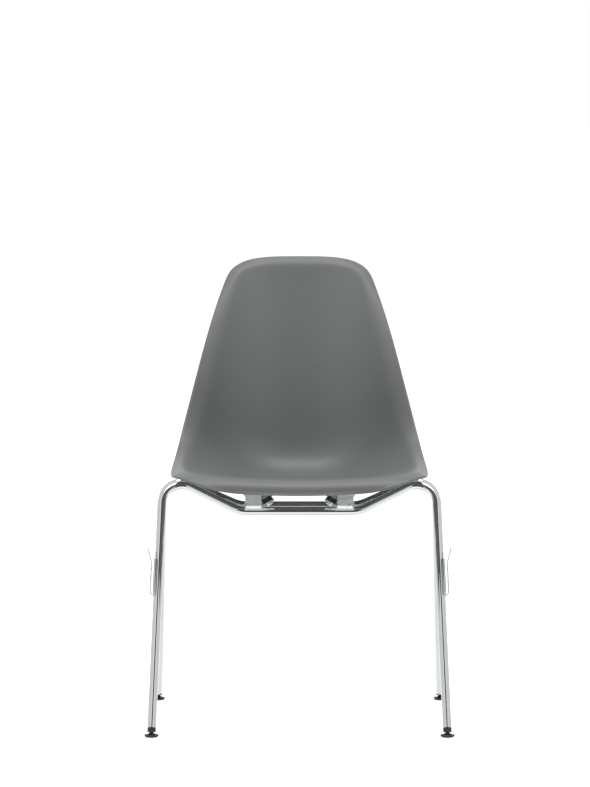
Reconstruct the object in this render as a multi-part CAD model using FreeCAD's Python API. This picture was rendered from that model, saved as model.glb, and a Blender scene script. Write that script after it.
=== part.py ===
"""A stacking side chair: a one-piece moulded plastic shell, carried on four rubber shock mounts
by a base of two bent and plated steel tubes, with tilting foot pads and row-linking catches.

Millimetres. +Z is up, the chair faces -Y, and +X is to the right of someone looking at its front.
The origin is on the floor, below the middle of the chair's box.
"""
import FreeCAD, Part
import math
import os

Vector = FreeCAD.Vector

# Shell
overall_height = 833.0
overall_depth = 550.0
shell_width = 464.0
seat_low_height = 430.0
shell_wall = 5.0
roll_width = 24.0
roll_depth = 13.0
roll_power = 1.5
top_roll_width = 15.0
top_roll_depth = 8.0
bowl_power = 2.3
front_corner_length = 82.0
front_corner_power = 3.0
top_corner_length = 62.0
top_corner_power = 4.1

# Bent tubes
tube_diameter = 16.0
tube_wall = 1.5
seat_above_crossbar = 42.8
crossbar_spacing = 100.0
crossbar_half_length = 109.5
crossbar_bend_radius = 60.0
shoulder_rise = 65.5
shoulder_half_width = 249.0
shoulder_bend_radius = 37.0
foot_spacing_width = 531.0
foot_spacing_depth = 490.0
leg_end_height = 15.0

# Foot pads and the plugs that carry them
pad_diameter = 26.0
pad_base_diameter = 21.0
pad_thickness = 5.0
pad_hub_diameter = 11.0
pad_hub_height = 7.2
ball_diameter = 8.4
ball_height = 5.9
ball_clearance = 0.3
ball_stem_diameter = 5.0
plug_diameter = 15.4
plug_bottom_height = 9.3
plug_depth = 18.0
pad_edge_low = 2.75
pad_edge_high = 4.0
pad_edge_chamfer = 0.8
pad_dish_rise = 0.35
pad_hub_skirt = 0.6
pad_hub_chamfer = 0.3

# Brackets, welded on top of both crossbars
bracket_sheet = 2.5
bracket_centre = 83.0
bracket_width = 34.0
bracket_length = 166.0
bracket_seat_depth = 0.8
tab_width = 28.0
tab_height = 32.5
tab_bend_radius = 4.0
tab_flare_radius = 17.0
tab_flare_reach = 12.0
tab_flare_edge = 2.0
ear_angle = 32.0
ear_width = 25.0
ear_tip_flat = 4.0

# Shock mounts, one on each ear
mount_spacing_depth = 132.0
mount_half_spacing = 56.0
mount_above_crossbar = 18.5
mount_diameter = 21.5
mount_rubber_height = 9.0
mount_waist = 1.2
mount_plate_thickness = 1.5
mount_plate_diameter = 20.0
nut_hub_diameter = 10.0
nut_hub_height = 5.0
nut_hub_floor = 1.0
stud_diameter = 6.0
stud_length = 8.0
insert_diameter = 9.0
insert_length = 10.0
stud_end_gap = 0.5
screw_head_diameter = 12.5
screw_head_height = 3.6
screw_head_rounding = 1.6
screw_end_gap = 1.0
screw_drive_width = 4.0
screw_drive_depth = 2.0
screw_hole_clearance = 0.25

# Bosses moulded under the shell
boss_diameter = 26.0
boss_chamfer = 1.5

# Linking catches and pegs on the outer sides of the front legs
link_height = 243.0
link_strip = 2.5
link_strip_width = 12.0
link_reach = 14.8
link_bend_radius = 5.25
link_arm_length = 58.0
link_lip_length = 28.0
link_lip_flare = 8.0
peg_diameter = 6.0
peg_length = 68.0
peg_offset = 6.2
peg_bite = 0.2

# Handles of the shell's two rails, front lip to top edge. Each row gives the spine's depth and
# height, the rim's depth and height, and the half width. Depth is a share of half the overall
# depth, height a share of the rise from the seat's low point to the top, and width a share of
# half the shell's width. The rim is where the bowl would end if its edge were not rolled over.
RAIL_HANDLES = [
    (-0.975, 0.019, -0.938, 0.090, 0.945),
    (-1.012, 0.022, -0.924, 0.092, 0.950),
    (-1.004, 0.058, -0.895, 0.099, 0.960),
    (-0.940, 0.093, -0.829, 0.108, 0.976),
    (-0.727, 0.077, -0.673, 0.121, 0.993),
    (-0.436, 0.043, -0.429, 0.127, 1.000),
    (-0.109, 0.010, -0.164, 0.144, 0.988),
    (0.182, -0.006, 0.065, 0.186, 0.963),
    (0.500, -0.004, 0.225, 0.263, 0.920),
    (0.668, 0.022, 0.320, 0.355, 0.876),
    (0.708, 0.125, 0.389, 0.452, 0.832),
    (0.730, 0.290, 0.465, 0.558, 0.786),
    (0.778, 0.521, 0.567, 0.684, 0.730),
    (0.862, 0.746, 0.705, 0.834, 0.648),
    (0.926, 0.899, 0.815, 0.936, 0.574),
    (0.956, 1.000, 0.900, 1.001, 0.527),
]

# How finely the shell's surfaces are drawn
SHELL_COLUMNS = 29
SHELL_ROWS = 38
COLUMN_CROWDING = 0.70
ROW_CROWDING = 0.75
LENGTH_SAMPLES = 400
EDGE_INSET_ACROSS = 0.015
EDGE_INSET_ALONG = 0.01

crossbar_height = seat_low_height - seat_above_crossbar
tube_radius = tube_diameter / 2
leg_lean = (foot_spacing_depth - crossbar_spacing) / 2 / (crossbar_height - ball_height)


def unit(vector):
    return vector * (1 / vector.Length)


# Shell

def clamped_knots(count):
    """Knots and multiplicities of a cubic with this many handles."""
    inner = count - 4
    knots = [float(k) for k in range(inner + 2)]
    return knots, [4] + [1] * inner + [4]


def cubic_at(handles, share):
    """The point at a share of the way along the clamped cubic B-spline with these handles."""
    knots, mults = clamped_knots(len(handles))
    full = [k for k, m in zip(knots, mults) for _ in range(m)]
    place = min(max(share, 0.0), 1.0) * knots[-1]
    span = min(int(place) + 3, len(handles) - 1)
    work = [handles[span - 3 + i] for i in range(4)]
    for level in range(1, 4):
        for i in range(3, level - 1, -1):
            low = full[span - 3 + i]
            high = full[span + 1 + i - level]
            mix = (place - low) / (high - low)
            work[i] = tuple(a + (b - a) * mix for a, b in zip(work[i - 1], work[i]))
    return work[3]


def rails_at(share):
    """Spine point, rise from spine to rim, and half width at a share of the rails."""
    spine_y, spine_z, rim_y, rim_z, width = cubic_at(RAIL_HANDLES, share)
    half_depth = overall_depth / 2
    back_rise = overall_height - seat_low_height
    spine = Vector(0, spine_y * half_depth, seat_low_height + spine_z * back_rise)
    rise = Vector(0, (rim_y - spine_y) * half_depth, (rim_z - spine_z) * back_rise)
    return spine, rise, width * shell_width / 2


def measure_spine():
    """Length along the spine at evenly spaced shares."""
    lengths = [0.0]
    last = rails_at(0)[0]
    for i in range(1, LENGTH_SAMPLES + 1):
        point = rails_at(i / LENGTH_SAMPLES)[0]
        lengths.append(lengths[-1] + (point - last).Length)
        last = point
    return lengths


SPINE_LENGTHS = measure_spine()
SPINE_TOTAL = SPINE_LENGTHS[-1]


def share_at_length(length):
    """The share of the rails at a length along the spine."""
    length = min(max(length, 0.0), SPINE_TOTAL)
    low, high = 0, LENGTH_SAMPLES
    while high - low > 1:
        middle = (low + high) // 2
        if SPINE_LENGTHS[middle] <= length:
            low = middle
        else:
            high = middle
    step = SPINE_LENGTHS[high] - SPINE_LENGTHS[low]
    return (low + (length - SPINE_LENGTHS[low]) / step) / LENGTH_SAMPLES


def cap_at(length):
    """How deep a spine length lies in the front or top corner zone: 0 outside, 1 at the edge.
    Also the zone's length and its power."""
    front = 1 - length / front_corner_length
    if front > 0:
        return front, front_corner_length, front_corner_power
    top = max(0.0, 1 - (SPINE_TOTAL - length) / top_corner_length)
    return top, top_corner_length, top_corner_power


def roll_at(length, share, inset):
    """How far the rolled edge bends down this far in from the rim. share is 0 at a side, 1 at an
    end. The front lip isn't rolled."""
    at_front = length < SPINE_TOTAL / 2
    end_width = roll_width if at_front else top_roll_width
    end_depth = 0.0 if at_front else top_roll_depth
    width = roll_width + (end_width - roll_width) * share
    depth = roll_depth + (end_depth - roll_depth) * share
    return depth * max(0.0, 1 - inset / width) ** roll_power


def crown(across, power):
    """How far an end edge has fallen back at this share of its half width: 0 middle, 1 corner."""
    reach = 0.5 ** (1 / power)
    drop = 1 - (1 - (abs(across) * reach) ** power) ** (1 / power)
    return drop / (1 - reach)


def shell_point(across, along):
    """A point of the sitting surface. across runs -1 to 1, along runs 0 at the lip to 1 at the top."""
    front_corner = front_corner_length * (1 - 0.5 ** (1 / front_corner_power))
    top_corner = top_corner_length * (1 - 0.5 ** (1 / top_corner_power))
    side_length = front_corner + (SPINE_TOTAL - front_corner - top_corner) * along
    length = SPINE_TOTAL * along
    length += (1 - along) * front_corner * crown(across, front_corner_power)
    length -= along * top_corner * crown(across, top_corner_power)
    side_cap, _, side_power = cap_at(side_length)
    fraction = abs(across) * (1 - side_cap ** side_power) ** (1 / side_power)

    spine, rise, half_width = rails_at(share_at_length(length))
    cap, cap_length, power = cap_at(length)
    reach = max((fraction ** power + cap ** power) ** (1 / power), 1e-6)
    slope_across = (fraction / reach) ** (power - 1) / half_width
    slope_along = (cap / reach) ** (power - 1) / cap_length
    inset = (1 - reach) / max(math.hypot(slope_across, slope_along), 1e-6)
    roll = roll_at(length, (cap / reach) ** power, inset)
    x = math.copysign(fraction * half_width, across)
    return Vector(x, 0, 0) + spine + rise * fraction ** bowl_power - unit(rise) * roll


def shell_slopes(across, along):
    """Directions of the sitting surface across and along."""
    step = 1e-3
    right = min(across + step, 1)
    left = max(across - step, -1)
    up = min(along + step, 1)
    down = max(along - step, 0)
    return (unit(shell_point(right, along) - shell_point(left, along)),
            unit(shell_point(across, up) - shell_point(across, down)))


def shell_normal(across, along):
    """The direction out of the sitting surface, towards the sitter."""
    inner_across = min(max(across, EDGE_INSET_ACROSS - 1), 1 - EDGE_INSET_ACROSS)
    inner_along = min(max(along, EDGE_INSET_ALONG), 1 - EDGE_INSET_ALONG)
    sideways, lengthways = shell_slopes(inner_across, inner_along)
    return unit(sideways.cross(lengthways))


def crowd(count, crowding, low):
    """Evenly counted places from low to 1, closer together at both ends."""
    places = []
    for i in range(count):
        even = i / (count - 1)
        place = even - crowding * math.sin(2 * math.pi * even) / (2 * math.pi)
        places.append(low + (1 - low) * place)
    return places


def shell_nets():
    """Handle nets of the sitting surface and the underside, and the way out at the rim."""
    columns = crowd(SHELL_COLUMNS, COLUMN_CROWDING, -1)
    rows = crowd(SHELL_ROWS, ROW_CROWDING, 0)
    top, under, out = [], [], []
    for across in columns:
        line = [shell_point(across, along) for along in rows]
        normals = [shell_normal(across, along) for along in rows]
        top.append(line)
        under.append([p - n * shell_wall for p, n in zip(line, normals)])
        outs = []
        for along, normal in zip(rows, normals):
            sideways, lengthways = shell_slopes(across, along)
            if abs(across) == 1:
                outs.append(unit(lengthways.cross(normal)) * across)
            else:
                outs.append(unit(sideways.cross(normal)) * (1 if along == 0 else -1))
        out.append(outs)
    return top, under, out


def cubic_face(net):
    """A cubic B-spline face with these rows of handles."""
    u_knots, u_mults = clamped_knots(len(net))
    v_knots, v_mults = clamped_knots(len(net[0]))
    surface = Part.BSplineSurface()
    surface.buildFromPolesMultsKnots(net, u_mults, v_mults, u_knots, v_knots, False, False, 3, 3)
    return surface.toShape()


def rounded_edge(top_line, under_line, out_line):
    """The half-round face that closes the rim between the two surfaces along one side."""
    bulge = 2 / 3 * shell_wall
    upper = [p + o * bulge for p, o in zip(top_line, out_line)]
    lower = [p + o * bulge for p, o in zip(under_line, out_line)]
    return cubic_face([top_line, upper, lower, under_line])


def shell_skin():
    top, under, out = shell_nets()
    faces = [cubic_face(top), cubic_face(under)]
    for i in (0, -1):
        faces.append(rounded_edge(top[i], under[i], out[i]))
    for j in (0, -1):
        faces.append(rounded_edge([c[j] for c in top], [c[j] for c in under], [c[j] for c in out]))
    skin = Part.Shell(faces)
    skin.sewShape()
    solid = Part.Solid(skin)
    if solid.Volume < 0:
        solid.reverse()
    return solid


# Places of the shock mounts

def corners():
    """Side and end signs of the four corners, with their names."""
    names = {(-1, -1): "front_left", (1, -1): "front_right", (-1, 1): "rear_left", (1, 1): "rear_right"}
    return [(side, end, names[side, end]) for end in (-1, 1) for side in (-1, 1)]


def mount_axis(side):
    """The way up along a shock mount: it leans outwards."""
    angle = math.radians(ear_angle)
    return Vector(side * math.sin(angle), 0, math.cos(angle))


def mount_point(side, end, height):
    """The point of a mount's axis this far above the ear."""
    base = Vector(side * mount_half_spacing, end * mount_spacing_depth / 2,
                  crossbar_height + mount_above_crossbar)
    return base + mount_axis(side) * height


def mount_disc(side, end, height, diameter, length):
    """A cylinder on a mount's axis, starting this far above the ear."""
    return Part.makeCylinder(diameter / 2, length, mount_point(side, end, height), mount_axis(side))


mount_stack = mount_plate_thickness * 2 + mount_rubber_height


def seat_above_mount(end):
    """Where the axis of a right-hand mount meets the seat, as across and along."""
    base = mount_point(1, end, 0)
    axis = mount_axis(1)

    def miss(place):
        return (shell_point(*place) - base).cross(axis).Length

    best = (0.3, 0.35)
    step = 0.1
    while step > 1e-4:
        across, along = best
        near = [(across + step, along), (across - step, along), (across, along + step), (across, along - step)]
        closest = min(near, key=miss)
        if miss(closest) < miss(best):
            best = closest
        else:
            step /= 2
    return best


def moulded_boss(end):
    """The round boss above a right-hand mount, chamfered below and ending inside the seat's wall."""
    start = mount_point(1, end, mount_stack)
    across, along = seat_above_mount(end)
    surface = shell_point(across, along)
    normal = shell_normal(across, along)
    boss = mount_disc(1, end, mount_stack, boss_diameter, (surface - start).Length + boss_diameter)
    rim = [e for e in boss.Edges if e.Closed and (e.CenterOfMass - start).Length < 1e-6]
    boss = boss.makeChamfer(boss_chamfer, rim)
    middle = surface - normal * shell_wall / 2
    return boss.cut(Part.makeCylinder(boss_diameter * 2, boss_diameter * 2, middle, normal))


def seat_shell():
    bosses = []
    for end in (-1, 1):
        boss = moulded_boss(end)
        bosses += [boss, mirrored(boss)]
    pockets = [mount_disc(side, end, mount_stack, insert_diameter, insert_length)
               for side, end, _ in corners()]
    return shell_skin().fuse(bosses).cut(pockets).removeSplitter()


# Base

def mirrored(shape):
    """The same shape on the other side of the chair."""
    return shape.mirror(Vector(0, 0, 0), Vector(1, 0, 0))


def leg_y(height, end):
    """Where the plane of a bent tube stands at a height."""
    return end * (crossbar_spacing / 2 + (crossbar_height - height) * leg_lean)


def leg_line(side, end):
    """A leg's centreline: the ball's centre at the foot, and the corner of the shoulder."""
    shoulder_height = crossbar_height + shoulder_rise
    foot = Vector(side * foot_spacing_width / 2, leg_y(ball_height, end), ball_height)
    shoulder = Vector(side * shoulder_half_width, leg_y(shoulder_height, end), shoulder_height)
    return foot, shoulder


def leg_at(side, end, height):
    """The point of a leg's centreline at a height."""
    foot, shoulder = leg_line(side, end)
    return foot + (shoulder - foot) * ((height - foot.z) / (shoulder.z - foot.z))


def rounded_path(points, radii):
    """Straight runs joined by tangent arcs, one radius for each point between the ends."""
    edges = []
    start = points[0]
    for before, corner, after, radius in zip(points, points[1:], points[2:], radii):
        back = unit(before - corner)
        ahead = unit(after - corner)
        half = back.getAngle(ahead) / 2
        tangent = radius / math.tan(half)
        centre = corner + unit(back + ahead) * (radius / math.sin(half))
        begin = corner + back * tangent
        finish = corner + ahead * tangent
        edges.append(Part.LineSegment(start, begin).toShape())
        middle = centre + unit(corner - centre) * radius
        edges.append(Part.Arc(begin, middle, finish).toShape())
        start = finish
    edges.append(Part.LineSegment(start, points[-1]).toShape())
    return Part.Wire(edges)


def pipe(path, start, direction, radius):
    """A round bar along a path."""
    section = Part.Wire(Part.makeCircle(radius, start, direction))
    return path.makePipeShell([section], True, False)


def leg_tube(end):
    """One tube: a leg, a shoulder, the sloping arm, the crossbar, and the same again."""
    crossbar_y = end * crossbar_spacing / 2
    left_end = leg_at(-1, end, leg_end_height)
    right_end = leg_at(1, end, leg_end_height)
    points = [left_end,
              leg_line(-1, end)[1],
              Vector(-crossbar_half_length, crossbar_y, crossbar_height),
              Vector(crossbar_half_length, crossbar_y, crossbar_height),
              leg_line(1, end)[1],
              right_end]
    radii = [shoulder_bend_radius, crossbar_bend_radius, crossbar_bend_radius, shoulder_bend_radius]
    path = rounded_path(points, radii)
    direction = points[1] - points[0]
    bar = pipe(path, left_end, direction, tube_radius)
    return bar.cut(pipe(path, left_end, direction, tube_radius - tube_wall))


def bracket_bottom():
    return crossbar_height + tube_radius - bracket_seat_depth


def bracket_tab(end):
    """The upturned end of a bracket, with a concave flare at its outer top corner."""
    inner_radius = tab_bend_radius
    outer_radius = inner_radius + bracket_sheet
    bend_y = bracket_length / 2 - outer_radius
    bottom = bracket_bottom()
    ring = Part.makeCylinder(outer_radius, tab_width, Vector(0, 0, 0), Vector(1, 0, 0))
    ring = ring.cut(Part.makeCylinder(inner_radius, tab_width, Vector(0, 0, 0), Vector(1, 0, 0)))
    quarter = Part.makeBox(tab_width, outer_radius, outer_radius, Vector(0, 0, -outer_radius))
    bend = ring.common(quarter)
    bend.translate(Vector(bracket_centre - tab_width / 2, bend_y, bottom + outer_radius))

    left = bracket_centre - tab_width / 2
    right = bracket_centre + tab_width / 2
    low = bottom + outer_radius
    top = bottom + tab_height
    wall_y = bracket_length / 2 - bracket_sheet
    flare_end = math.acos(1 - tab_flare_reach / tab_flare_radius)
    flare_low = top - tab_flare_edge - tab_flare_radius * math.sin(flare_end)

    def on_flare(angle):
        return Vector(right + tab_flare_radius * (1 - math.cos(angle)), wall_y,
                      flare_low + tab_flare_radius * math.sin(angle))

    arc = Part.Arc(on_flare(0), on_flare(flare_end / 2), on_flare(flare_end))
    outline = [on_flare(flare_end), Vector(right + tab_flare_reach, wall_y, top), Vector(left, wall_y, top),
               Vector(left, wall_y, low), Vector(right, wall_y, low), on_flare(0)]
    edges = [arc.toShape()]
    edges += [Part.LineSegment(a, b).toShape() for a, b in zip(outline, outline[1:])]
    wall = Part.Face(Part.Wire(edges)).extrude(Vector(0, bracket_sheet, 0))
    tab = bend.fuse(wall)
    return tab if end > 0 else tab.mirror(Vector(0, 0, 0), Vector(0, 1, 0))


def bracket_ear(end):
    """The tilted ear under a mount, on the right-hand bracket."""
    axis = mount_axis(1)
    along = Vector(axis.z, 0, -axis.x)
    seat = mount_point(1, end, 0)
    bottom = seat - axis * bracket_sheet
    inner = -(mount_diameter / 2)
    plate_bottom = bracket_bottom()
    outer = (bottom.z - plate_bottom) / axis.x
    start = bottom + along * inner - Vector(0, ear_width / 2, 0)
    profile = [start, start + axis * bracket_sheet,
               bottom + axis * bracket_sheet + along * outer - Vector(0, ear_width / 2, 0),
               bottom + along * outer - Vector(0, ear_width / 2, 0)]
    plate = Part.Face(Part.makePolygon(profile + profile[:1])).extrude(Vector(0, ear_width, 0))
    hole = Part.makeCylinder(stud_diameter / 2 + screw_hole_clearance, bracket_sheet * 3,
                             seat - axis * bracket_sheet * 2, axis)
    tip_edges = [e for e in plate.Edges
                 if abs(abs(unit(e.tangentAt(e.FirstParameter)).dot(axis)) - 1) < 1e-6
                 and (e.CenterOfMass - seat).dot(along) < 0]
    plate = plate.makeFillet((ear_width - ear_tip_flat) / 2, tip_edges)
    return plate.cut(hole)


def saddle_bracket():
    """The right-hand bracket: base plate, end tabs and ears, notched to sit on the tubes."""
    plate = Part.makeBox(bracket_width, bracket_length - 2 * (tab_bend_radius + bracket_sheet), bracket_sheet,
                         Vector(bracket_centre - bracket_width / 2,
                                -bracket_length / 2 + tab_bend_radius + bracket_sheet, bracket_bottom()))
    bracket = plate
    for end in (-1, 1):
        bracket = bracket.fuse(bracket_tab(end)).fuse(bracket_ear(end))
    for end in (-1, 1):
        bar = Part.makeCylinder(tube_radius, crossbar_half_length * 2,
                                Vector(-crossbar_half_length, end * crossbar_spacing / 2, crossbar_height),
                                Vector(1, 0, 0))
        bracket = bracket.cut(bar)
    return bracket.removeSplitter()


# Shock mounts and their fixings

def rubber_mount(side, end):
    """A waisted rubber buffer between its two plates, with the nut plate's hub inside."""
    start = mount_plate_thickness
    buffer_end = start + mount_rubber_height
    radius = mount_diameter / 2
    hub_top = start + nut_hub_height
    hub = nut_hub_diameter / 2
    middle = Vector(radius - mount_waist, 0, (start + buffer_end) / 2)
    arc = Part.Arc(Vector(radius, 0, start), middle, Vector(radius, 0, buffer_end)).toShape()
    outline = [Vector(radius, 0, buffer_end), Vector(0, 0, buffer_end), Vector(0, 0, hub_top),
               Vector(hub, 0, hub_top), Vector(hub, 0, start), Vector(radius, 0, start)]
    lines = [Part.LineSegment(a, b).toShape() for a, b in zip(outline, outline[1:])]
    solid = Part.Face(Part.Wire([arc] + lines)).revolve(Vector(0, 0, 0), Vector(0, 0, 1), 360)
    turn = FreeCAD.Rotation(Vector(0, 0, 1), mount_axis(side))
    solid.Placement = FreeCAD.Placement(mount_point(side, end, 0), turn)
    return solid


def nut_plate(side, end):
    plate = mount_disc(side, end, 0, mount_plate_diameter, mount_plate_thickness)
    hub = mount_disc(side, end, mount_plate_thickness, nut_hub_diameter, nut_hub_height)
    thread = mount_disc(side, end, 0, stud_diameter, mount_plate_thickness + nut_hub_height - nut_hub_floor)
    return plate.fuse(hub).cut(thread).removeSplitter()


def stud_plate(side, end):
    height = mount_plate_thickness + mount_rubber_height
    plate = mount_disc(side, end, height, mount_plate_diameter, mount_plate_thickness)
    return plate.fuse(mount_disc(side, end, mount_stack, stud_diameter, stud_length)).removeSplitter()


def threaded_insert(side, end):
    body = mount_disc(side, end, mount_stack, insert_diameter, insert_length)
    return body.cut(mount_disc(side, end, mount_stack, stud_diameter, stud_length + stud_end_gap))


def mount_screw(side, end):
    """A pan-head screw from below the ear, with a hexagon socket."""
    length = bracket_sheet + mount_plate_thickness + nut_hub_height - nut_hub_floor - screw_end_gap
    shank = mount_disc(side, end, -bracket_sheet, stud_diameter, length)
    head_start = -bracket_sheet - screw_head_height
    head = mount_disc(side, end, head_start, screw_head_diameter, screw_head_height)
    rim = [e for e in head.Edges if e.Closed
           and (e.CenterOfMass - mount_point(side, end, head_start)).Length < 1e-6]
    head = head.makeFillet(screw_head_rounding, rim)
    socket_radius = screw_drive_width / math.sqrt(3)
    ring = [Vector(socket_radius * math.cos(math.radians(60 * i)),
                   socket_radius * math.sin(math.radians(60 * i)), 0) for i in range(7)]
    socket = Part.Face(Part.makePolygon(ring)).extrude(Vector(0, 0, screw_drive_depth))
    turn = FreeCAD.Rotation(Vector(0, 0, 1), mount_axis(side))
    socket.Placement = FreeCAD.Placement(mount_point(side, end, head_start), turn)
    return head.fuse(shank).cut(socket).removeSplitter()


# Foot plugs and pads

def leg_plug(side, end):
    """The plug in a leg's end: a spigot in the bore, a collar cut level, a stem and the ball."""
    foot, shoulder = leg_line(side, end)
    up = unit(shoulder - foot)
    mouth = leg_at(side, end, leg_end_height)
    reach = leg_end_height * 3
    collar = Part.makeCylinder(plug_diameter / 2, reach, mouth - up * reach, up)
    below = Part.makeCylinder(reach, reach * 2, Vector(foot.x, foot.y, plug_bottom_height - reach * 2))
    collar = collar.cut(below)
    spigot = Part.makeCylinder(tube_radius - tube_wall, plug_depth, mouth, up)
    stem_length = plug_bottom_height - ball_height + ball_stem_diameter / 4
    stem = Part.makeCylinder(ball_stem_diameter / 2, stem_length, foot)
    ball = Part.makeSphere(ball_diameter / 2, foot)
    return collar.fuse(spigot).fuse(stem).fuse(ball).removeSplitter()


def foot_pad(side, end):
    """A turned pad with a hollow for the ball, chamfered below and dished above."""
    foot = leg_line(side, end)[0]
    radius = pad_diameter / 2
    hub = pad_hub_diameter / 2
    rim = Vector(radius - pad_edge_chamfer, 0, pad_thickness)
    skirt = Vector(hub, 0, pad_hub_height - pad_hub_skirt)
    dish_middle = Vector((radius + hub) / 2, 0, pad_thickness + pad_dish_rise)
    dish = Part.Arc(rim, dish_middle, skirt).toShape()
    outline = [skirt, Vector(hub - pad_hub_chamfer, 0, pad_hub_height),
               Vector(0, 0, pad_hub_height), Vector(0, 0, 0), Vector(pad_base_diameter / 2, 0, 0),
               Vector(radius, 0, pad_edge_low), Vector(radius, 0, pad_edge_high), rim]
    lines = [Part.LineSegment(a, b).toShape() for a, b in zip(outline, outline[1:])]
    pad = Part.Face(Part.Wire([dish] + lines)).revolve(Vector(0, 0, 0), Vector(0, 0, 1), 360)
    hollow = Part.makeSphere(ball_diameter / 2 + ball_clearance, Vector(0, 0, ball_height))
    pad = pad.cut(hollow)
    pad.translate(Vector(foot.x, foot.y, 0))
    return pad


# Linking catches and pegs

def link_frame(side, end):
    """A place on a leg: X outwards, Y towards the front and Z up along the leg."""
    foot, shoulder = leg_line(side, end)
    up = unit(shoulder - foot)
    outward = Vector(side, 0, 0)
    outward = unit(outward - up * outward.dot(up))
    front = up.cross(outward) * side * -1
    origin = leg_at(side, end, link_height)
    return FreeCAD.Matrix(outward.x, front.x, up.x, origin.x,
                          outward.y, front.y, up.y, origin.y,
                          outward.z, front.z, up.z, origin.z,
                          0, 0, 0, 1)


def leg_body():
    """The leg in the link's own frame."""
    return Part.makeCylinder(tube_radius, link_arm_length * 4, Vector(0, 0, -link_arm_length * 2))


def catch_shape():
    """A bent strip: a hooked foot on the leg, a straight arm and a flared mouth."""
    outer = link_reach
    inner = outer - link_strip
    bend_centre = outer - link_bend_radius
    bend_inner = link_bend_radius - link_strip
    lip_top = link_arm_length + link_lip_length
    lip_slope = math.atan2(link_lip_flare, link_lip_length)
    lip_shift = link_strip / math.cos(lip_slope)
    bends = [
        Part.Arc(Vector(outer, 0, 0), Vector(bend_centre, 0, -link_bend_radius),
                 Vector(bend_centre - link_bend_radius, 0, 0)),
        Part.Arc(Vector(bend_centre - bend_inner, 0, 0), Vector(bend_centre, 0, -bend_inner),
                 Vector(inner, 0, 0)),
    ]
    first = [Vector(bend_centre - link_bend_radius, 0, 0), Vector(bend_centre - bend_inner, 0, 0)]
    second = [Vector(inner, 0, 0), Vector(inner, 0, link_arm_length),
              Vector(outer + link_lip_flare - lip_shift, 0, lip_top),
              Vector(outer + link_lip_flare, 0, lip_top),
              Vector(outer, 0, link_arm_length), Vector(outer, 0, 0)]
    edges = [bends[0].toShape(), Part.LineSegment(first[0], first[1]).toShape(), bends[1].toShape()]
    edges += [Part.LineSegment(a, b).toShape() for a, b in zip(second, second[1:])]
    strip = Part.Face(Part.Wire(edges)).extrude(Vector(0, link_strip_width, 0))
    return strip.cut(leg_body())


def peg_shape():
    """A rod with a domed top, standing on the catch's foot and biting into the leg's side."""
    radius = peg_diameter / 2
    gap = tube_radius + radius - peg_bite
    front = math.sqrt(gap ** 2 - peg_offset ** 2)
    base = Vector(peg_offset, front, 0)
    rod = Part.makeCylinder(radius, peg_length - radius, base)
    dome = Part.makeSphere(radius, base + Vector(0, 0, peg_length - radius))
    return rod.fuse(dome).cut(leg_body()).removeSplitter()


def placed(shape, side, end):
    """A link piece set on a leg."""
    return shape.transformGeometry(link_frame(side, end))


def save(shape, node):
    if not shape.isValid():
        print("invalid", node)
    print(node, "solids", len(shape.Solids), "volume", round(shape.Volume, 1))
    shape.exportStep("parts/" + node + ".step")


def group(maker):
    """Identical small pieces, one at each corner, as separate solids."""
    return Part.makeCompound([maker(side, end) for side, end, _ in corners()])


def main():
    os.makedirs("parts", exist_ok=True)
    save(seat_shell(), "seat_shell")
    save(leg_tube(-1), "front_leg_tube")
    save(leg_tube(1), "rear_leg_tube")
    bracket = saddle_bracket()
    save(bracket, "right_saddle_bracket")
    save(mirrored(bracket), "left_saddle_bracket")
    save(group(nut_plate), "mount_nut_plates")
    save(group(stud_plate), "mount_stud_plates")
    save(group(threaded_insert), "threaded_inserts")
    save(group(mount_screw), "mount_screws")
    catch = catch_shape()
    peg = peg_shape()
    for side, end, name in corners():
        save(rubber_mount(side, end), "shock_mount_" + name)
        save(leg_plug(side, end), "leg_plug_" + name)
        save(foot_pad(side, end), "foot_pad_" + name)
    for side, name in ((-1, "left"), (1, "right")):
        save(placed(catch, side, -1), "link_catch_" + name)
        save(placed(peg, side, -1), "link_peg_" + name)


main()
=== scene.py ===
"""Looks and lighting for the moulded shell stacking chair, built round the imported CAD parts.

Metres. The chair faces -Y, +X is to the right of someone looking at its front, and the floor is z = 0.
"""
import math

import bmesh
import bpy
import numpy as np
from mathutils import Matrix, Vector
from mathutils.bvhtree import BVHTree


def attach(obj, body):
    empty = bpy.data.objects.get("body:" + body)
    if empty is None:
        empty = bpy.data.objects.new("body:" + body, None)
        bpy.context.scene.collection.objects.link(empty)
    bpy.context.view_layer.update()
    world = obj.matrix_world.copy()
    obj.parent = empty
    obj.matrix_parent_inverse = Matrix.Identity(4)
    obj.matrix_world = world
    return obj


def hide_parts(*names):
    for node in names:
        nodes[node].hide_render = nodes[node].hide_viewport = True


# Shell, close to the form of the CAD part, in metres: its seat is fuller by a few millimetres
OVERALL_HEIGHT = 0.833
OVERALL_DEPTH = 0.550
SHELL_WIDTH = 0.464
SEAT_LOW_HEIGHT = 0.430
SHELL_WALL = 0.005
ROLL_WIDTH = 0.024
ROLL_DEPTH = 0.018
ROLL_POWER = 1.5
TOP_ROLL_WIDTH = 0.015
TOP_ROLL_DEPTH = 0.008
FRONT_CORNER_LENGTH = 0.082
FRONT_CORNER_POWER = 3.0
TOP_CORNER_LENGTH = 0.062
TOP_CORNER_POWER = 4.1

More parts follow.
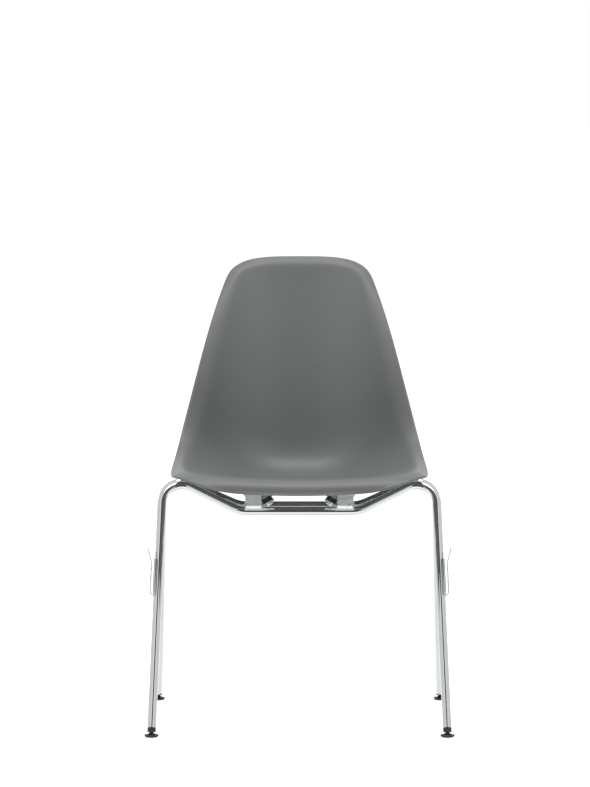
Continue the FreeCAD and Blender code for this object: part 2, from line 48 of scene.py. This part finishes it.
# Spine depth and height, rim depth and height, half width and bowl power, from the front lip to the
# top edge. The first five are shares of half the depth, of the rise above the seat's low point, and
# of half the width. A higher bowl power keeps the middle flat and turns up nearer the sides.
RAIL_HANDLES = [
    (-0.975, 0.019, -0.938, 0.098, 0.935, 2.2),
    (-1.012, 0.022, -0.924, 0.100, 0.940, 2.2),
    (-1.004, 0.058, -0.895, 0.108, 0.950, 2.2),
    (-0.940, 0.093, -0.829, 0.118, 0.966, 2.6),
    (-0.727, 0.077, -0.673, 0.130, 0.988, 3.2),
    (-0.436, 0.045, -0.429, 0.134, 1.000, 3.1),
    (-0.109, 0.012, -0.164, 0.148, 0.990, 2.6),
    (0.182, -0.004, 0.065, 0.186, 0.963, 2.4),
    (0.500, -0.002, 0.225, 0.263, 0.920, 2.5),
    (0.668, 0.022, 0.320, 0.355, 0.876, 2.6),
    (0.708, 0.125, 0.389, 0.452, 0.832, 2.5),
    (0.730, 0.290, 0.465, 0.558, 0.786, 2.4),
    (0.778, 0.521, 0.567, 0.684, 0.730, 2.4),
    (0.862, 0.746, 0.705, 0.834, 0.652, 2.3),
    (0.926, 0.899, 0.815, 0.936, 0.580, 2.3),
    (0.956, 1.000, 0.900, 1.001, 0.527, 2.3),
]
NET_COLUMNS = 29
NET_ROWS = 38
COLUMN_CROWDING = 0.70
ROW_CROWDING = 0.75
LENGTH_SAMPLES = 400
MESH_COLUMNS = 121
MESH_ROWS = 181
MESH_CROWDING = 0.5
RIM_STEPS = 8
EDGE_ACROSS = 0.985
EDGE_ALONG = 0.01
SLOPE_STEP = 1e-3
SKIN_WELD = 1e-5
BOSS_WELD = 1e-6

# Camera, measured from the photograph's perspective
CAMERA_PLACE = (-0.008, -10.195, 1.442)
CAMERA_DOWN_DEGREES = 4.732
CAMERA_NEAR = 0.5
CAMERA_FAR = 60.0
FOCAL_PIXELS = 5595.0
PHOTO_LONG_SIDE_PIXELS = 787.0
SENSOR_MM = 36.0

# Bosses under the shell, with the CAD part's sizes and places
BOSS_DIAMETER = 0.026
BOSS_CHAMFER = 0.0015
BOSS_AXIS_DEGREES = 32.0
BOSS_SEGMENTS = 48
INSERT_DIAMETER = 0.009
CROSSBAR_HEIGHT = 0.3872
MOUNT_ABOVE_CROSSBAR = 0.0185
MOUNT_HALF_SPACING = 0.056
MOUNT_SPACING_DEPTH = 0.132
MOUNT_STACK = 0.012

# Stage
FLOOR_WIDTH = 60.0
FLOOR_TONE = 0.92
FLOOR_GLOW = 0.75
AMBIENT = 0.37
TOP_LAMP_PLACE = (0, -0.8, 6.0)
TOP_LAMP_TARGET = (0, 0, 0.4)
TOP_LAMP_WIDTH = 5.2
TOP_LAMP_DEPTH = 4.0
TOP_LAMP_WATTS = 205
LEFT_LAMP_PLACE = (-3.0, -2.4, 2.6)
RIGHT_LAMP_PLACE = (3.0, -2.4, 2.6)
SIDE_LAMP_TARGET = (0, 0, 0.5)
SIDE_LAMP_SIZE = 2.4
LEFT_LAMP_WATTS = 25
RIGHT_LAMP_WATTS = 20
DARK_LANE_HALF_WIDTH = 0.95
DARK_LANE_RADIUS = 4.0
DARK_LANE_START = 0.95
DARK_LANE_TOP_DEGREES = 62.0
DARK_LANE_STEPS = 24
LANE_ABOVE_FLOOR = 0.002
DARK_LANE_GLOW = 0.10
BRIGHT_LANE_WIDTH = 0.75
LEFT_LANE_GLOW = 1.5
RIGHT_LANE_GLOW = 1.3


def unit(vector):
    return vector / max(np.linalg.norm(vector), 1e-12)


# Shell form

def clamped_knots(count):
    """The knots of a clamped cubic with this many handles, repeats included."""
    last = count - 3
    return [0.0] * 3 + [float(k) for k in range(last + 1)] + [float(last)] * 3


def cubic_weights(count, place):
    """How much each handle of a clamped cubic counts at a place from 0 to 1."""
    knots = clamped_knots(count)
    at = min(max(place, 0.0), 1.0) * (count - 3)
    span = min(int(at) + 3, count - 1)
    basis = [1.0]
    for degree in range(1, 4):
        raised = [0.0] * (degree + 1)
        for i in range(degree):
            low = knots[span - degree + 1 + i]
            high = knots[span + 1 + i]
            share = (at - low) / (high - low)
            raised[i] += basis[i] * (1 - share)
            raised[i + 1] += basis[i] * share
        basis = raised
    weights = np.zeros(count)
    weights[span - 3:span + 1] = basis
    return weights


HANDLES = np.array(RAIL_HANDLES)


def rails_at(share):
    """Spine point, rise from spine to rim, half width and bowl power at a share of the rails."""
    spine_y, spine_z, rim_y, rim_z, width, bowl = cubic_weights(len(HANDLES), share) @ HANDLES
    half_depth = OVERALL_DEPTH / 2
    back_rise = OVERALL_HEIGHT - SEAT_LOW_HEIGHT
    spine = np.array([0, spine_y * half_depth, SEAT_LOW_HEIGHT + spine_z * back_rise])
    rise = np.array([0, (rim_y - spine_y) * half_depth, (rim_z - spine_z) * back_rise])
    return spine, rise, width * SHELL_WIDTH / 2, bowl


def measure_spine():
    """Length along the spine at evenly spaced shares."""
    points = np.array([rails_at(i / LENGTH_SAMPLES)[0] for i in range(LENGTH_SAMPLES + 1)])
    steps = np.linalg.norm(np.diff(points, axis=0), axis=1)
    return np.concatenate([[0.0], np.cumsum(steps)])


SPINE_LENGTHS = measure_spine()
SPINE_TOTAL = SPINE_LENGTHS[-1]


def share_at_length(length):
    shares = np.linspace(0, 1, LENGTH_SAMPLES + 1)
    return float(np.interp(length, SPINE_LENGTHS, shares))


def cap_at(length):
    """Depth into the front or top corner zone, and the zone's length and power."""
    front = 1 - length / FRONT_CORNER_LENGTH
    if front > 0:
        return front, FRONT_CORNER_LENGTH, FRONT_CORNER_POWER
    top = max(0.0, 1 - (SPINE_TOTAL - length) / TOP_CORNER_LENGTH)
    return top, TOP_CORNER_LENGTH, TOP_CORNER_POWER


def roll_at(length, share, inset):
    """How far the rolled edge bends down this far in from the rim. share is 0 at a side, 1 at an end."""
    at_front = length < SPINE_TOTAL / 2
    end_width = ROLL_WIDTH if at_front else TOP_ROLL_WIDTH
    end_depth = 0.0 if at_front else TOP_ROLL_DEPTH
    width = ROLL_WIDTH + (end_width - ROLL_WIDTH) * share
    depth = ROLL_DEPTH + (end_depth - ROLL_DEPTH) * share
    return depth * max(0.0, 1 - inset / width) ** ROLL_POWER


def crown(across, power):
    """How far an end edge has fallen back at this share of its half width: 0 middle, 1 corner."""
    reach = 0.5 ** (1 / power)
    drop = 1 - (1 - (abs(across) * reach) ** power) ** (1 / power)
    return drop / (1 - reach)


def shell_point(across, along):
    """A point of the sitting surface. across runs -1 to 1, along runs 0 at the lip to 1 at the top."""
    front_corner = FRONT_CORNER_LENGTH * (1 - 0.5 ** (1 / FRONT_CORNER_POWER))
    top_corner = TOP_CORNER_LENGTH * (1 - 0.5 ** (1 / TOP_CORNER_POWER))
    side_length = front_corner + (SPINE_TOTAL - front_corner - top_corner) * along
    length = SPINE_TOTAL * along
    length += (1 - along) * front_corner * crown(across, FRONT_CORNER_POWER)
    length -= along * top_corner * crown(across, TOP_CORNER_POWER)
    side_cap, _, side_power = cap_at(side_length)
    fraction = abs(across) * (1 - side_cap ** side_power) ** (1 / side_power)

    spine, rise, half_width, bowl = rails_at(share_at_length(length))
    cap, cap_length, power = cap_at(length)
    reach = max((fraction ** power + cap ** power) ** (1 / power), 1e-6)
    slope_across = (fraction / reach) ** (power - 1) / half_width
    slope_along = (cap / reach) ** (power - 1) / cap_length
    inset = (1 - reach) / max(math.hypot(slope_across, slope_along), 1e-6)
    roll = roll_at(length, (cap / reach) ** power, inset)
    x = math.copysign(fraction * half_width, across)
    return np.array([x, 0, 0]) + spine + rise * fraction ** bowl - unit(rise) * roll


def shell_slopes(across, along):
    """Directions of the sitting surface across and along."""
    right = min(across + SLOPE_STEP, 1)
    left = max(across - SLOPE_STEP, -1)
    up = min(along + SLOPE_STEP, 1)
    down = max(along - SLOPE_STEP, 0)
    return (unit(shell_point(right, along) - shell_point(left, along)),
            unit(shell_point(across, up) - shell_point(across, down)))


def shell_normal(across, along):
    """The direction out of the sitting surface, towards the sitter, taken just inside the edges."""
    inner_across = min(max(across, -EDGE_ACROSS), EDGE_ACROSS)
    inner_along = min(max(along, EDGE_ALONG), 1 - EDGE_ALONG)
    sideways, lengthways = shell_slopes(inner_across, inner_along)
    return unit(np.cross(sideways, lengthways))


def crowd(count, crowding, low):
    """Evenly counted places from low to 1, closer together at both ends."""
    even = np.linspace(0, 1, count)
    return low + (1 - low) * (even - crowding * np.sin(2 * math.pi * even) / (2 * math.pi))


def shell_nets():
    """Handle nets of the sitting surface and the underside, and the way out at the rim."""
    columns = crowd(NET_COLUMNS, COLUMN_CROWDING, -1)
    rows = crowd(NET_ROWS, ROW_CROWDING, 0)
    top = np.array([[shell_point(a, b) for b in rows] for a in columns])
    normals = np.array([[shell_normal(a, b) for b in rows] for a in columns])
    out = np.zeros_like(top)
    for i, across in enumerate(columns):
        for j, along in enumerate(rows):
            sideways, lengthways = shell_slopes(across, along)
            if i in (0, NET_COLUMNS - 1):
                out[i, j] = unit(np.cross(lengthways, normals[i, j])) * across
            else:
                out[i, j] = unit(np.cross(sideways, normals[i, j])) * (1 if j == 0 else -1)
    return top, top - normals * SHELL_WALL, out


def rim_strip(top_line, under_line, out_line, weights):
    """Rings of points round the half-round rim along one side."""
    bulge = 2 / 3 * SHELL_WALL
    net = np.array([top_line, top_line + out_line * bulge, under_line + out_line * bulge, under_line])
    across = np.array([cubic_weights(4, k / RIM_STEPS) for k in range(RIM_STEPS + 1)])
    return np.einsum("ka,ajc,rj->krc", across, net, weights)


def shell_mesh():
    """The finished shell: both surfaces and the rounded rim, in one closed skin."""
    top, under, out = shell_nets()
    column_weights = np.array([cubic_weights(NET_COLUMNS, p) for p in crowd(MESH_COLUMNS, MESH_CROWDING, 0)])
    row_weights = np.array([cubic_weights(NET_ROWS, p) for p in crowd(MESH_ROWS, MESH_CROWDING, 0)])
    grids = [
        np.einsum("ui,ijc,vj->uvc", column_weights, top, row_weights),
        np.einsum("ui,ijc,vj->uvc", column_weights, under, row_weights)[::-1],
        rim_strip(top[0], under[0], out[0], row_weights),
        rim_strip(top[-1], under[-1], out[-1], row_weights)[::-1],
        rim_strip(top[:, 0], under[:, 0], out[:, 0], column_weights)[::-1],
        rim_strip(top[:, -1], under[:, -1], out[:, -1], column_weights),
    ]
    points = []
    faces = []
    for grid in grids:
        first = len(points)
        rows, columns = grid.shape[:2]
        points += [tuple(p) for p in grid.reshape(-1, 3)]
        for i in range(rows - 1):
            for j in range(columns - 1):
                corner = first + i * columns + j
                faces.append((corner, corner + columns, corner + columns + 1, corner + 1))
    mesh = bpy.data.meshes.new("shell")
    mesh.from_pydata(points, [], faces)
    mesh.validate()
    return mesh


def weld(mesh, distance):
    """Joins points that lie together, and turns every face outwards."""
    work = bmesh.new()
    work.from_mesh(mesh)
    bmesh.ops.remove_doubles(work, verts=work.verts, dist=distance)
    bmesh.ops.recalc_face_normals(work, faces=work.faces)
    work.to_mesh(mesh)
    work.free()
    mesh.shade_smooth()


def boss_rings(tree, side, end):
    """Rings of points of one boss: the insert's hole, the chamfer, and where it meets the underside."""
    tilt = math.radians(BOSS_AXIS_DEGREES)
    axis = Vector((side * math.sin(tilt), 0, math.cos(tilt)))
    across = Vector((side * math.cos(tilt), 0, -math.sin(tilt)))
    place = Vector((side * MOUNT_HALF_SPACING, end * MOUNT_SPACING_DEPTH / 2,
                    CROSSBAR_HEIGHT + MOUNT_ABOVE_CROSSBAR))
    foot = place + axis * MOUNT_STACK
    rings = [[], [], [], []]
    for i in range(BOSS_SEGMENTS):
        turn = 2 * math.pi * i / BOSS_SEGMENTS
        out = across * math.cos(turn) + Vector((0, math.sin(turn), 0))
        edge = foot + out * BOSS_DIAMETER / 2
        hit = tree.ray_cast(edge, axis)[0]
        rings[0].append(foot + out * INSERT_DIAMETER / 2)
        rings[1].append(edge - out * BOSS_CHAMFER)
        rings[2].append(edge + axis * BOSS_CHAMFER)
        rings[3].append(hit + axis * SHELL_WALL / 2)
    return rings


def moulded_bosses(skin):
    """The four bosses under the seat, ending inside the shell's wall."""
    tree = BVHTree.FromPolygons([v.co for v in skin.vertices], [p.vertices[:] for p in skin.polygons])
    points = []
    faces = []
    for side in (-1, 1):
        for end in (-1, 1):
            first = len(points)
            rings = boss_rings(tree, side, end)
            points += [tuple(p) for ring in rings for p in ring]
            for k in range(len(rings) - 1):
                low = first + k * BOSS_SEGMENTS
                high = low + BOSS_SEGMENTS
                for i in range(BOSS_SEGMENTS):
                    after = (i + 1) % BOSS_SEGMENTS
                    faces.append((low + i, low + after, high + after, high + i))
    mesh = bpy.data.meshes.new("moulded_bosses")
    mesh.from_pydata(points, [], faces)
    return mesh


# Materials

def new_material(name):
    """An empty node material and its principled shader."""
    material = bpy.data.materials.new(name)
    material.use_nodes = True
    return material, material.node_tree.nodes["Principled BSDF"]


def noise(material, scale, detail=4.0, roughness=0.5):
    """A noise pattern that sits still on the object."""
    tree = material.node_tree
    place = tree.nodes.new("ShaderNodeTexCoord")
    pattern = tree.nodes.new("ShaderNodeTexNoise")
    pattern.inputs["Scale"].default_value = scale
    pattern.inputs["Detail"].default_value = detail
    pattern.inputs["Roughness"].default_value = roughness
    tree.links.new(place.outputs["Object"], pattern.inputs["Vector"])
    return pattern.outputs["Fac"]


def spread(material, source, low, high):
    """The pattern's middle values stretched to run from low to high."""
    tree = material.node_tree
    ranged = tree.nodes.new("ShaderNodeMapRange")
    ranged.inputs["From Min"].default_value = 0.3
    ranged.inputs["From Max"].default_value = 0.7
    ranged.inputs["To Min"].default_value = low
    ranged.inputs["To Max"].default_value = high
    tree.links.new(source, ranged.inputs["Value"])
    return ranged.outputs["Result"]


def tint(material, source, dark, light):
    """A colour that wanders between two others with the pattern."""
    tree = material.node_tree
    mix = tree.nodes.new("ShaderNodeMix")
    mix.data_type = "RGBA"
    mix.inputs["A"].default_value = (*dark, 1)
    mix.inputs["B"].default_value = (*light, 1)
    tree.links.new(source, mix.inputs["Factor"])
    return mix.outputs["Result"]


def bump(material, shader, source, strength, distance):
    tree = material.node_tree
    relief = tree.nodes.new("ShaderNodeBump")
    relief.inputs["Strength"].default_value = strength
    relief.inputs["Distance"].default_value = distance
    tree.links.new(source, relief.inputs["Height"])
    tree.links.new(relief.outputs["Normal"], shader.inputs["Normal"])


def moulded_plastic(name, dark, light, roughness, grain_scale, grain_depth):
    """Coloured-through plastic with a fine moulded grain and a slightly uneven sheen."""
    material, shader = new_material(name)
    tree = material.node_tree
    cloud = noise(material, 9.0, 3.0)
    tree.links.new(tint(material, cloud, dark, light), shader.inputs["Base Color"])
    sheen = noise(material, 60.0, 5.0)
    tree.links.new(spread(material, sheen, roughness - 0.03, roughness + 0.03), shader.inputs["Roughness"])
    shader.inputs["IOR"].default_value = 1.46
    bump(material, shader, noise(material, grain_scale, 2.0), 0.25, grain_depth)
    return material


def plated_steel(name, tone, roughness):
    """Polished plating: bright, with a faint wipe-mark unevenness in its gloss."""
    material, shader = new_material(name)
    tree = material.node_tree
    shader.inputs["Metallic"].default_value = 1.0
    cloud = noise(material, 25.0, 3.0)
    darker = tuple(c * 0.96 for c in tone)
    tree.links.new(tint(material, cloud, darker, tone), shader.inputs["Base Color"])
    marks = noise(material, 180.0, 6.0)
    tree.links.new(spread(material, marks, roughness * 0.7, roughness * 1.3), shader.inputs["Roughness"])
    return material


def moulded_rubber(name):
    """Matt black rubber with a fine bloom."""
    material, shader = new_material(name)
    tree = material.node_tree
    bloom = noise(material, 140.0, 5.0)
    tree.links.new(tint(material, bloom, (0.012, 0.012, 0.013), (0.028, 0.028, 0.030)),
                   shader.inputs["Base Color"])
    tree.links.new(spread(material, bloom, 0.62, 0.8), shader.inputs["Roughness"])
    bump(material, shader, noise(material, 900.0, 2.0), 0.3, 0.0001)
    return material


def turned_brass(name):
    material, shader = new_material(name)
    tree = material.node_tree
    shader.inputs["Metallic"].default_value = 1.0
    cloud = noise(material, 80.0, 4.0)
    colour = tint(material, cloud, (0.62, 0.45, 0.2), (0.75, 0.57, 0.28))
    tree.links.new(colour, shader.inputs["Base Color"])
    tree.links.new(spread(material, cloud, 0.25, 0.4), shader.inputs["Roughness"])
    return material


def paint(obj, material):
    obj.data.materials.clear()
    obj.data.materials.append(material)


# Stage

def shown_white(tree, plain_output):
    """A white that the camera, glossy and transmission rays see, over the plain shader."""
    path = tree.nodes.new("ShaderNodeLightPath")
    either = tree.nodes.new("ShaderNodeMath")
    either.operation = "MAXIMUM"
    tree.links.new(path.outputs["Is Camera Ray"], either.inputs[0])
    tree.links.new(path.outputs["Is Glossy Ray"], either.inputs[1])
    any_seen = tree.nodes.new("ShaderNodeMath")
    any_seen.operation = "MAXIMUM"
    tree.links.new(either.outputs[0], any_seen.inputs[0])
    tree.links.new(path.outputs["Is Transmission Ray"], any_seen.inputs[1])
    mix = tree.nodes.new("ShaderNodeMixShader")
    tree.links.new(any_seen.outputs[0], mix.inputs["Fac"])
    tree.links.new(plain_output, mix.inputs[1])
    return mix


def white_world(ambient):
    """White where it is seen, and a plain soft light from everywhere."""
    world = bpy.data.worlds.new("studio")
    bpy.context.scene.world = world
    world.use_nodes = True
    tree = world.node_tree
    plain = tree.nodes["Background"]
    plain.inputs["Color"].default_value = (1, 1, 1, 1)
    plain.inputs["Strength"].default_value = ambient
    seen = tree.nodes.new("ShaderNodeBackground")
    seen.inputs["Color"].default_value = (1, 1, 1, 1)
    seen.inputs["Strength"].default_value = 1.0
    mix = shown_white(tree, plain.outputs["Background"])
    tree.links.new(seen.outputs["Background"], mix.inputs[2])
    tree.links.new(mix.outputs["Shader"], tree.nodes["World Output"].inputs["Surface"])


def flat_panel(name, width, depth):
    mesh = bpy.data.meshes.new(name)
    x, y = width / 2, depth / 2
    mesh.from_pydata([(-x, -y, 0), (x, -y, 0), (x, y, 0), (-x, y, 0)], [], [(0, 1, 2, 3)])
    panel = bpy.data.objects.new(name, mesh)
    bpy.context.scene.collection.objects.link(panel)
    return panel


def white_floor():
    """A matt floor that is white wherever it is seen, and darker only where the chair shades it."""
    floor = flat_panel("floor", FLOOR_WIDTH, FLOOR_WIDTH)
    material, shader = new_material("floor_white")
    tree = material.node_tree
    shader.inputs["Base Color"].default_value = (FLOOR_TONE, FLOOR_TONE, FLOOR_TONE, 1)
    shader.inputs["Roughness"].default_value = 0.9
    shader.inputs["Specular IOR Level"].default_value = 0.0
    glow = tree.nodes.new("ShaderNodeEmission")
    glow.inputs["Strength"].default_value = FLOOR_GLOW
    both = tree.nodes.new("ShaderNodeAddShader")
    tree.links.new(shader.outputs["BSDF"], both.inputs[0])
    tree.links.new(glow.outputs["Emission"], both.inputs[1])
    mix = shown_white(tree, shader.outputs["BSDF"])
    tree.links.new(both.outputs["Shader"], mix.inputs[2])
    tree.links.new(mix.outputs["Shader"], tree.nodes["Material Output"].inputs["Surface"])
    paint(floor, material)
    return floor


def mirrored_lane(name, left, right, strength):
    """A strip of the studio that is only seen mirrored in the chair: it runs along the floor in front
    of it and then climbs in an arc between the chair and the camera, which doesn't see it."""
    path = [(-DARK_LANE_START, LANE_ABOVE_FLOOR)]
    for i in range(DARK_LANE_STEPS + 1):
        angle = math.radians(DARK_LANE_TOP_DEGREES) * i / DARK_LANE_STEPS
        out = -DARK_LANE_RADIUS * math.cos(angle)
        up = LANE_ABOVE_FLOOR + DARK_LANE_RADIUS * math.sin(angle)
        path.append((out, up))
    points = [(x, y, z) for y, z in path for x in (left, right)]
    faces = [(2 * i, 2 * i + 1, 2 * i + 3, 2 * i + 2) for i in range(len(path) - 1)]
    mesh = bpy.data.meshes.new(name)
    mesh.from_pydata(points, [], faces)
    lane = bpy.data.objects.new(name, mesh)
    bpy.context.scene.collection.objects.link(lane)
    lane.visible_camera = False
    lane.visible_diffuse = False
    lane.visible_transmission = False
    lane.visible_shadow = False
    material = bpy.data.materials.new(name)
    material.use_nodes = True
    tree = material.node_tree
    tree.nodes.remove(tree.nodes["Principled BSDF"])
    glow = tree.nodes.new("ShaderNodeEmission")
    glow.inputs["Color"].default_value = (0.95, 1.0, 0.985, 1)
    glow.inputs["Strength"].default_value = strength
    tree.links.new(glow.outputs["Emission"], tree.nodes["Material Output"].inputs["Surface"])
    paint(lane, material)


def soft_lamp(name, place, target, width, height, watts, mirrored):
    """An area lamp turned towards a point. Only a mirrored lamp shows in glossy surfaces."""
    light = bpy.data.lights.new(name, "AREA")
    light.shape = "RECTANGLE"
    light.size = width
    light.size_y = height
    light.energy = watts
    lamp = bpy.data.objects.new(name, light)
    lamp.location = place
    lamp.rotation_mode = "QUATERNION"
    lamp.rotation_quaternion = (Vector(target) - Vector(place)).to_track_quat("-Z", "Y")
    bpy.context.scene.collection.objects.link(lamp)
    lamp.visible_glossy = mirrored


def photo_camera():
    data = bpy.data.cameras.new("camera")
    data.sensor_width = SENSOR_MM
    data.sensor_fit = "AUTO"
    data.lens = SENSOR_MM * FOCAL_PIXELS / PHOTO_LONG_SIDE_PIXELS
    data.clip_start = CAMERA_NEAR
    data.clip_end = CAMERA_FAR
    camera = bpy.data.objects.new("camera", data)
    camera.location = CAMERA_PLACE
    camera.rotation_euler = (math.radians(90 - CAMERA_DOWN_DEGREES), 0, 0)
    bpy.context.scene.collection.objects.link(camera)
    bpy.context.scene.camera = camera


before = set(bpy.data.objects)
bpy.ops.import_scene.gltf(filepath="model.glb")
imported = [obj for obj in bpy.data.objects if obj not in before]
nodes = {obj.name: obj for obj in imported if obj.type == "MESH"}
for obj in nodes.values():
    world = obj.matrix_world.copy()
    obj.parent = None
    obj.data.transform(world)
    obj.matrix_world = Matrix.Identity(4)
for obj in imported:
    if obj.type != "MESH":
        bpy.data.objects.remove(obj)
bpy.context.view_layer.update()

shell_grey = moulded_plastic("shell_grey", (0.155, 0.160, 0.163), (0.165, 0.170, 0.173), 0.42, 700.0, 0.0001)
pad_black = moulded_plastic("pad_black", (0.010, 0.010, 0.011), (0.018, 0.018, 0.019), 0.4, 900.0, 0.0001)
plating = plated_steel("plating", (0.56, 0.575, 0.575), 0.05)
sheet_plating = plated_steel("sheet_plating", (0.72, 0.735, 0.735), 0.42)
zinc = plated_steel("zinc", (0.62, 0.63, 0.64), 0.3)
black_rubber = moulded_rubber("black_rubber")
brass = turned_brass("brass")

finishes = {
    "front_leg_tube": plating, "rear_leg_tube": plating, "link_peg": plating,
    "left_saddle_bracket": sheet_plating, "right_saddle_bracket": sheet_plating, "link_catch": sheet_plating,
    "mount_nut_plates": zinc, "mount_stud_plates": zinc, "mount_screws": zinc,
    "threaded_inserts": brass, "shock_mount": black_rubber, "leg_plug": pad_black, "foot_pad": pad_black,
}
for name, node in nodes.items():
    for start, material in finishes.items():
        if name.startswith(start):
            paint(node, material)

skin = shell_mesh()
weld(skin, SKIN_WELD)
shell = bpy.data.objects.new("shell_skin", skin)
bpy.context.scene.collection.objects.link(shell)
paint(shell, shell_grey)
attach(shell, "chair")
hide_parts("seat_shell")

boss_skin = moulded_bosses(skin)
weld(boss_skin, BOSS_WELD)
bosses = bpy.data.objects.new("moulded_bosses", boss_skin)
bpy.context.scene.collection.objects.link(bosses)
paint(bosses, shell_grey)
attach(bosses, "chair")

white_world(AMBIENT)
white_floor()
bright_edge = DARK_LANE_HALF_WIDTH + BRIGHT_LANE_WIDTH
mirrored_lane("dark_lane", -DARK_LANE_HALF_WIDTH, DARK_LANE_HALF_WIDTH, DARK_LANE_GLOW)
mirrored_lane("left_bright_lane", -bright_edge, -DARK_LANE_HALF_WIDTH, LEFT_LANE_GLOW)
mirrored_lane("right_bright_lane", DARK_LANE_HALF_WIDTH, bright_edge, RIGHT_LANE_GLOW)
soft_lamp("top_lamp", TOP_LAMP_PLACE, TOP_LAMP_TARGET, TOP_LAMP_WIDTH, TOP_LAMP_DEPTH,
          TOP_LAMP_WATTS, True)
soft_lamp("left_lamp", LEFT_LAMP_PLACE, SIDE_LAMP_TARGET, SIDE_LAMP_SIZE, SIDE_LAMP_SIZE,
          LEFT_LAMP_WATTS, False)
soft_lamp("right_lamp", RIGHT_LAMP_PLACE, SIDE_LAMP_TARGET, SIDE_LAMP_SIZE, SIDE_LAMP_SIZE,
          RIGHT_LAMP_WATTS, False)
photo_camera()
bpy.context.scene.view_settings.view_transform = "Standard"
